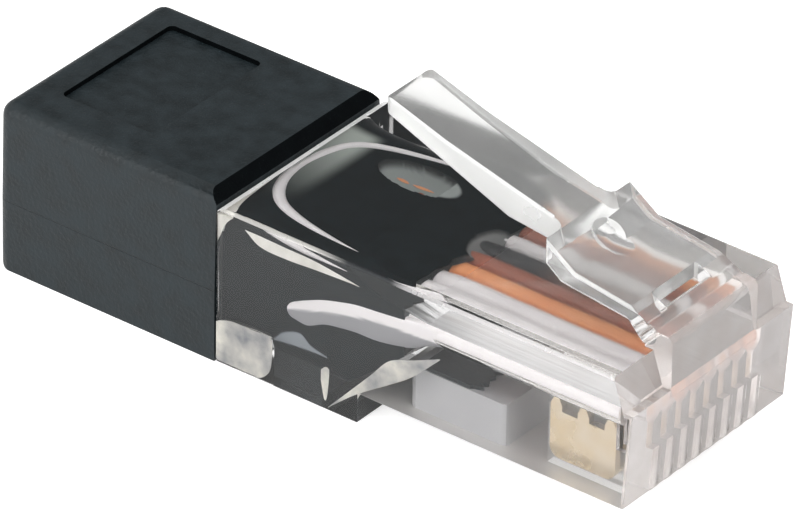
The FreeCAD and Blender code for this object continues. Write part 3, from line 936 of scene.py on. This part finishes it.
def buildStainedWire(look, stain):
    # One wire carries some of the black plastic along from the filling.
    material, tree, shader = grainyMaterial("stainedWire", **look)
    span = [(plugRear + stain[key]) * mm for key in ("full", "gone")]
    along = addRange(tree, (-700, 600), span, (1.0, 0.0), interpolation_type="SMOOTHSTEP")
    mix = addOverlay(tree, shader)
    mix.inputs["B"].default_value = (*stain["colour"], 1)
    tree.links.new(addPlaceAlong(tree, (-1100, 600), "X"), along.inputs["Value"])
    tree.links.new(along.outputs["Result"], mix.inputs["Factor"])
    return material


goldContact = grainyMaterial("goldContact", **goldLook)[0]
copperWire = grainyMaterial("copperWire", **copperLook)[0]
wireKinds = {
    "white": grainyMaterial("whiteWire", **whiteLook)[0],
    "orange": grainyMaterial("orangeWire", **orangeWireLook)[0],
    "redBrown": grainyMaterial("redBrownWire", **redBrownLook)[0],
    "brown": buildStainedWire(brownLook, stainLook),
}
wireOrder = ("white", "white", "orange", "redBrown", "brown", "white", "redBrown", "orange")
for pin, kind in enumerate(wireOrder, 1):
    dress(nodes[f"contact_{pin}"], goldContact)
    dress(nodes[f"wire_conductor_{pin}"], copperWire)
    dress(nodes[f"wire_insulation_{pin}"], wireKinds[kind])

# The near wire along the wall: x, its lower edge, the line below which it is painted in shade, and its upper
# edge
nearWireLook = {
    "path": [(3.6, 2.3, 2.45, 2.6), (3.72, 2.1, 2.48, 2.8), (4.0, 2.02, 2.58, 3.0), (4.7, 1.95, 2.78, 3.36),
             (5.7, 2.4, 3.1, 3.76), (7.1, 2.6, 3.42, 4.11), (8.5, 2.58, 3.62, 4.2), (10.04, 2.85, 3.62, 4.29),
             (11.2, 3.36, 3.61, 4.42), (12.6, 3.5, 3.6, 4.3)],
    "proud": 0.09, "depth": 0.5, "flatness": 0.35, "sinkFrom": 10.6, "sinkTo": 12.4, "sink": 0.35,
    "paintedShade": (0.34, 0.34, 0.36), "paintedShadeFade": 0.05, "stations": 90, "turns": 40, "smooth": 60,
}


def buildShadedWire(look, paintedShadeTone):
    # Painted shade: the wire's lower part is mixed towards a grey
    material, tree, shader = grainyMaterial("shadedNearWire", **look)
    paintedShade = addNode(tree, "ShaderNodeVertexColor", (-900, 500), layer_name="lowerPaintedShade")
    darker = addOverlay(tree, shader)
    darker.inputs["B"].default_value = (*paintedShadeTone, 1)
    tree.links.new(paintedShade.outputs["Color"], darker.inputs["Factor"])
    return material


def buildNearWire(look, fill, material):
    # The first wire bends down along the near wall, where it shows through the clear plastic. Its lower part
    # is painted grey as shade.
    rows = []
    paintedShades = []
    path = look["path"]
    for step in range(look["stations"] + 1):
        x = path[0][0] + (path[-1][0] - path[0][0]) * step / look["stations"]
        low, line, high = alongPath(path, x)
        wall = fill["half"] + (fill["rowHalf"] - fill["half"]) * min(fillTaper(fill, x), 1.0)
        row = []
        for turn in range(look["turns"]):
            angle = 2 * math.pi * turn / look["turns"]
            flat = math.copysign(abs(math.cos(angle)) ** look["flatness"], math.cos(angle))
            y = -wall - look["proud"] + look["depth"] / 2 * (1 + flat)
            y += look["sink"] * smoothStep(look["sinkFrom"], look["sinkTo"], x)
            z = (low + high) / 2 + (high - low) / 2 * math.sin(angle)
            row.append(plugPlace(x, y, z))
            paintedShades.append(smoothStep(line + look["paintedShadeFade"], line - look["paintedShadeFade"], z))
        rows.append(row)
    mesh = gridMesh("nearWire", rows)
    paintedShade = mesh.color_attributes.new("lowerPaintedShade", "FLOAT_COLOR", "POINT")
    for index, value in enumerate(paintedShades):
        paintedShade.data[index].color = (value, value, value, 1)
    smoothByAngle(mesh, look["smooth"])
    piece = addPiece("nearWire", mesh)
    dress(piece, material)
    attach(piece, "plug")


buildNearWire(nearWireLook, fillLook, buildShadedWire(whiteLook, nearWireLook["paintedShade"]))

# The painted highlight's path under the roof: x, y and half its thickness
roofHighlightLook = {
    "path": [(5.6, 3.95, 0.08), (4.6, 3.76, 0.15), (1.48, 3.2, 0.2), (0.55, 1.87, 0.26),
             (0.1, -0.63, 0.32), (0.66, -2.75, 0.33), (2.4, -3.95, 0.24), (6.6, -4.25, 0.01)],
    "roof": 5.4, "stepsAlong": 10, "stepsRound": 4, "smooth": 60,
}


def buildRoofHighlight(look):
    # A painted highlight: a pale white rim under the roof, where the filling draws away from the mouth of the
    # cavity.
    curve = bpy.data.curves.new("rimPath", "CURVE")
    curve.dimensions = "3D"
    spline = curve.splines.new("NURBS")
    spline.points.add(len(look["path"]) - 1)
    for point, (x, y, size) in zip(spline.points, look["path"]):
        point.co = (*plugPlace(x, y, look["roof"]), 1)
        point.radius = size
    spline.order_u = 4
    spline.use_endpoint_u = True
    spline.resolution_u = look["stepsAlong"]
    curve.bevel_depth = mm
    curve.bevel_resolution = look["stepsRound"]
    curve.use_fill_caps = True
    holder = addPiece("rimPath", curve)
    mesh = workedOut(holder, "roofHighlight")
    bpy.data.objects.remove(holder)
    smoothByAngle(mesh, look["smooth"])
    piece = addPiece("roofHighlight", mesh)
    dress(piece, wireKinds["white"])
    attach(piece, "plug")


buildRoofHighlight(roofHighlightLook)
print("wires and contacts dressed")


# Inner board and its chips, sealed in the block

boardLook = {
    "low": (0.02, 0.09, 0.04), "high": (0.03, 0.12, 0.06),
    "roughLow": 0.4, "roughHigh": 0.55,
    "grainScale": 3000.0, "cloudScale": 600.0, "bumpStrength": 0.2, "bumpDepth": 0.00002,
}
chipLook = dict(boardLook, low=(0.02, 0.02, 0.022), high=(0.05, 0.05, 0.052), grainScale=6000.0,
                cloudScale=900.0, bumpDepth=0.00001)
chipCeramic = grainyMaterial("chipCeramic", **chipLook)[0]
dress(nodes["termination_board"], grainyMaterial("boardGreen", **boardLook)[0])
for name, node in nodes.items():
    if name.startswith("chip_resistor"):
        dress(node, chipCeramic)
print("board dressed")


# Floor, light and camera

stageLook = {
    "floorSize": 3.0, "floorDrop": 0.00002, "floorColour": (0.80, 0.80, 0.80), "floorRough": 0.9,
    "floorGlow": 0.35, "floorShown": 0.6,
    "sky": 1.0, "dimSky": 0.26, "dimWay": (-0.513, 0.671, 0.535), "dimFrom": 0.78, "dimTo": 0.95,
    "lampAim": (0, 0, 0.004),
    # Softboxes: name, place and size in metres, watts
    "softboxes": [
        ("keySoftbox", (-0.15, -0.7, 0.32), (0.4, 0.3), 2.5),
        ("topSoftbox", (0.24, -0.2, 0.52), (0.3, 0.3), 0.9),
        ("frontSoftbox", (0.6, -0.2, 0.35), (0.35, 0.35), 0.8),
    ],
}


def buildFloor(look):
    # Shown near white to the camera, and a little bright in what mirrors it or lets it through.
    half = look["floorSize"] / 2
    corners = [(-half, -half, 0), (half, -half, 0), (half, half, 0), (-half, half, 0)]
    mesh = bpy.data.meshes.new("floor")
    mesh.from_pydata(corners, [], [(0, 1, 2, 3)])
    floor = addPiece("floor", mesh)
    floor.location.z = -look["floorDrop"]
    material, tree, shader = newMaterial("paleFloor")
    shader.inputs["Base Color"].default_value = (*look["floorColour"], 1)
    shader.inputs["Roughness"].default_value = look["floorRough"]
    shader.inputs["Specular IOR Level"].default_value = 0.0
    shader.inputs["Emission Color"].default_value = (1, 1, 1, 1)
    paths = addNode(tree, "ShaderNodeLightPath", (-900, 0))
    mirrored = addNode(tree, "ShaderNodeMath", (-600, 0), operation="MAXIMUM")
    dim = addNode(tree, "ShaderNodeMath", (-400, 0), operation="MULTIPLY")
    dim.inputs[1].default_value = look["floorGlow"]
    bright = addNode(tree, "ShaderNodeMath", (-400, 200), operation="MULTIPLY")
    bright.inputs[1].default_value = look["floorShown"]
    glow = addNode(tree, "ShaderNodeMath", (-200, 0), operation="MAXIMUM")
    link = tree.links.new
    link(paths.outputs["Is Glossy Ray"], mirrored.inputs[0])
    link(paths.outputs["Is Transmission Ray"], mirrored.inputs[1])
    link(mirrored.outputs["Value"], dim.inputs[0])
    link(paths.outputs["Is Camera Ray"], bright.inputs[0])
    link(bright.outputs["Value"], glow.inputs[0])
    link(dim.outputs["Value"], glow.inputs[1])
    link(glow.outputs["Value"], shader.inputs["Emission Strength"])
    floor.data.materials.append(material)


def buildSky(look):
    # Bright all round but for a dim part behind the object, which the top of the plug mirrors.
    world = bpy.data.worlds.new("studio")
    world.use_nodes = True
    tree = world.node_tree
    place = addNode(tree, "ShaderNodeTexCoord", (-900, 0))
    toDim = addNode(tree, "ShaderNodeVectorMath", (-600, 0), operation="DOT_PRODUCT")
    toDim.inputs[1].default_value = Vector(look["dimWay"]).normalized()
    level = addRange(tree, (-300, 0), (look["dimFrom"], look["dimTo"]), (look["sky"], look["dimSky"]),
                     interpolation_type="SMOOTHSTEP")
    sky = tree.nodes["Background"]
    sky.inputs["Color"].default_value = (1, 1, 1, 1)
    link = tree.links.new
    link(place.outputs["Generated"], toDim.inputs[0])
    link(toDim.outputs["Value"], level.inputs["Value"])
    link(level.outputs["Result"], sky.inputs["Strength"])
    scene.world = world


def addSoftbox(name, place, target, size, power):
    data = bpy.data.lights.new(name, "AREA")
    data.shape = "RECTANGLE"
    data.size, data.size_y = size
    data.energy = power
    lamp = bpy.data.objects.new(name, data)
    lamp.location = place
    lamp.rotation_mode = "QUATERNION"
    lamp.rotation_quaternion = (Vector(target) - Vector(place)).to_track_quat("-Z", "Y")
    scene.collection.objects.link(lamp)


buildFloor(stageLook)
buildSky(stageLook)
for lampName, lampPlace, lampSize, lampPower in stageLook["softboxes"]:
    addSoftbox(lampName, lampPlace, stageLook["lampAim"], lampSize, lampPower)

cameraLook = {
    "azimuth": 37.42, "elevation": 32.32, "roll": 0.97, "distance": 0.45, "lens": 465.0, "clipStart": 0.01,
    "aim": (0.000409, 0.000181, 0.004562),
}


def buildCamera(look):
    azimuth, elevation, roll = (math.radians(look[key]) for key in ("azimuth", "elevation", "roll"))
    ahead = Vector((-math.sin(azimuth) * math.cos(elevation), math.cos(azimuth) * math.cos(elevation),
                    -math.sin(elevation)))
    level = Vector((math.cos(azimuth), math.sin(azimuth), 0))
    rise = level.cross(ahead)
    right = level * math.cos(roll) + rise * math.sin(roll)
    up = rise * math.cos(roll) - level * math.sin(roll)
    data = bpy.data.cameras.new("camera")
    data.lens = look["lens"]
    data.clip_start = look["clipStart"]
    camera = bpy.data.objects.new("camera", data)
    turn = Matrix((right, up, -ahead)).transposed().to_4x4()
    camera.matrix_world = Matrix.Translation(Vector(look["aim"]) - ahead * look["distance"]) @ turn
    scene.collection.objects.link(camera)
    scene.camera = camera


buildCamera(cameraLook)
scene.view_settings.view_transform = "Standard"
print("stage, lights and camera set")
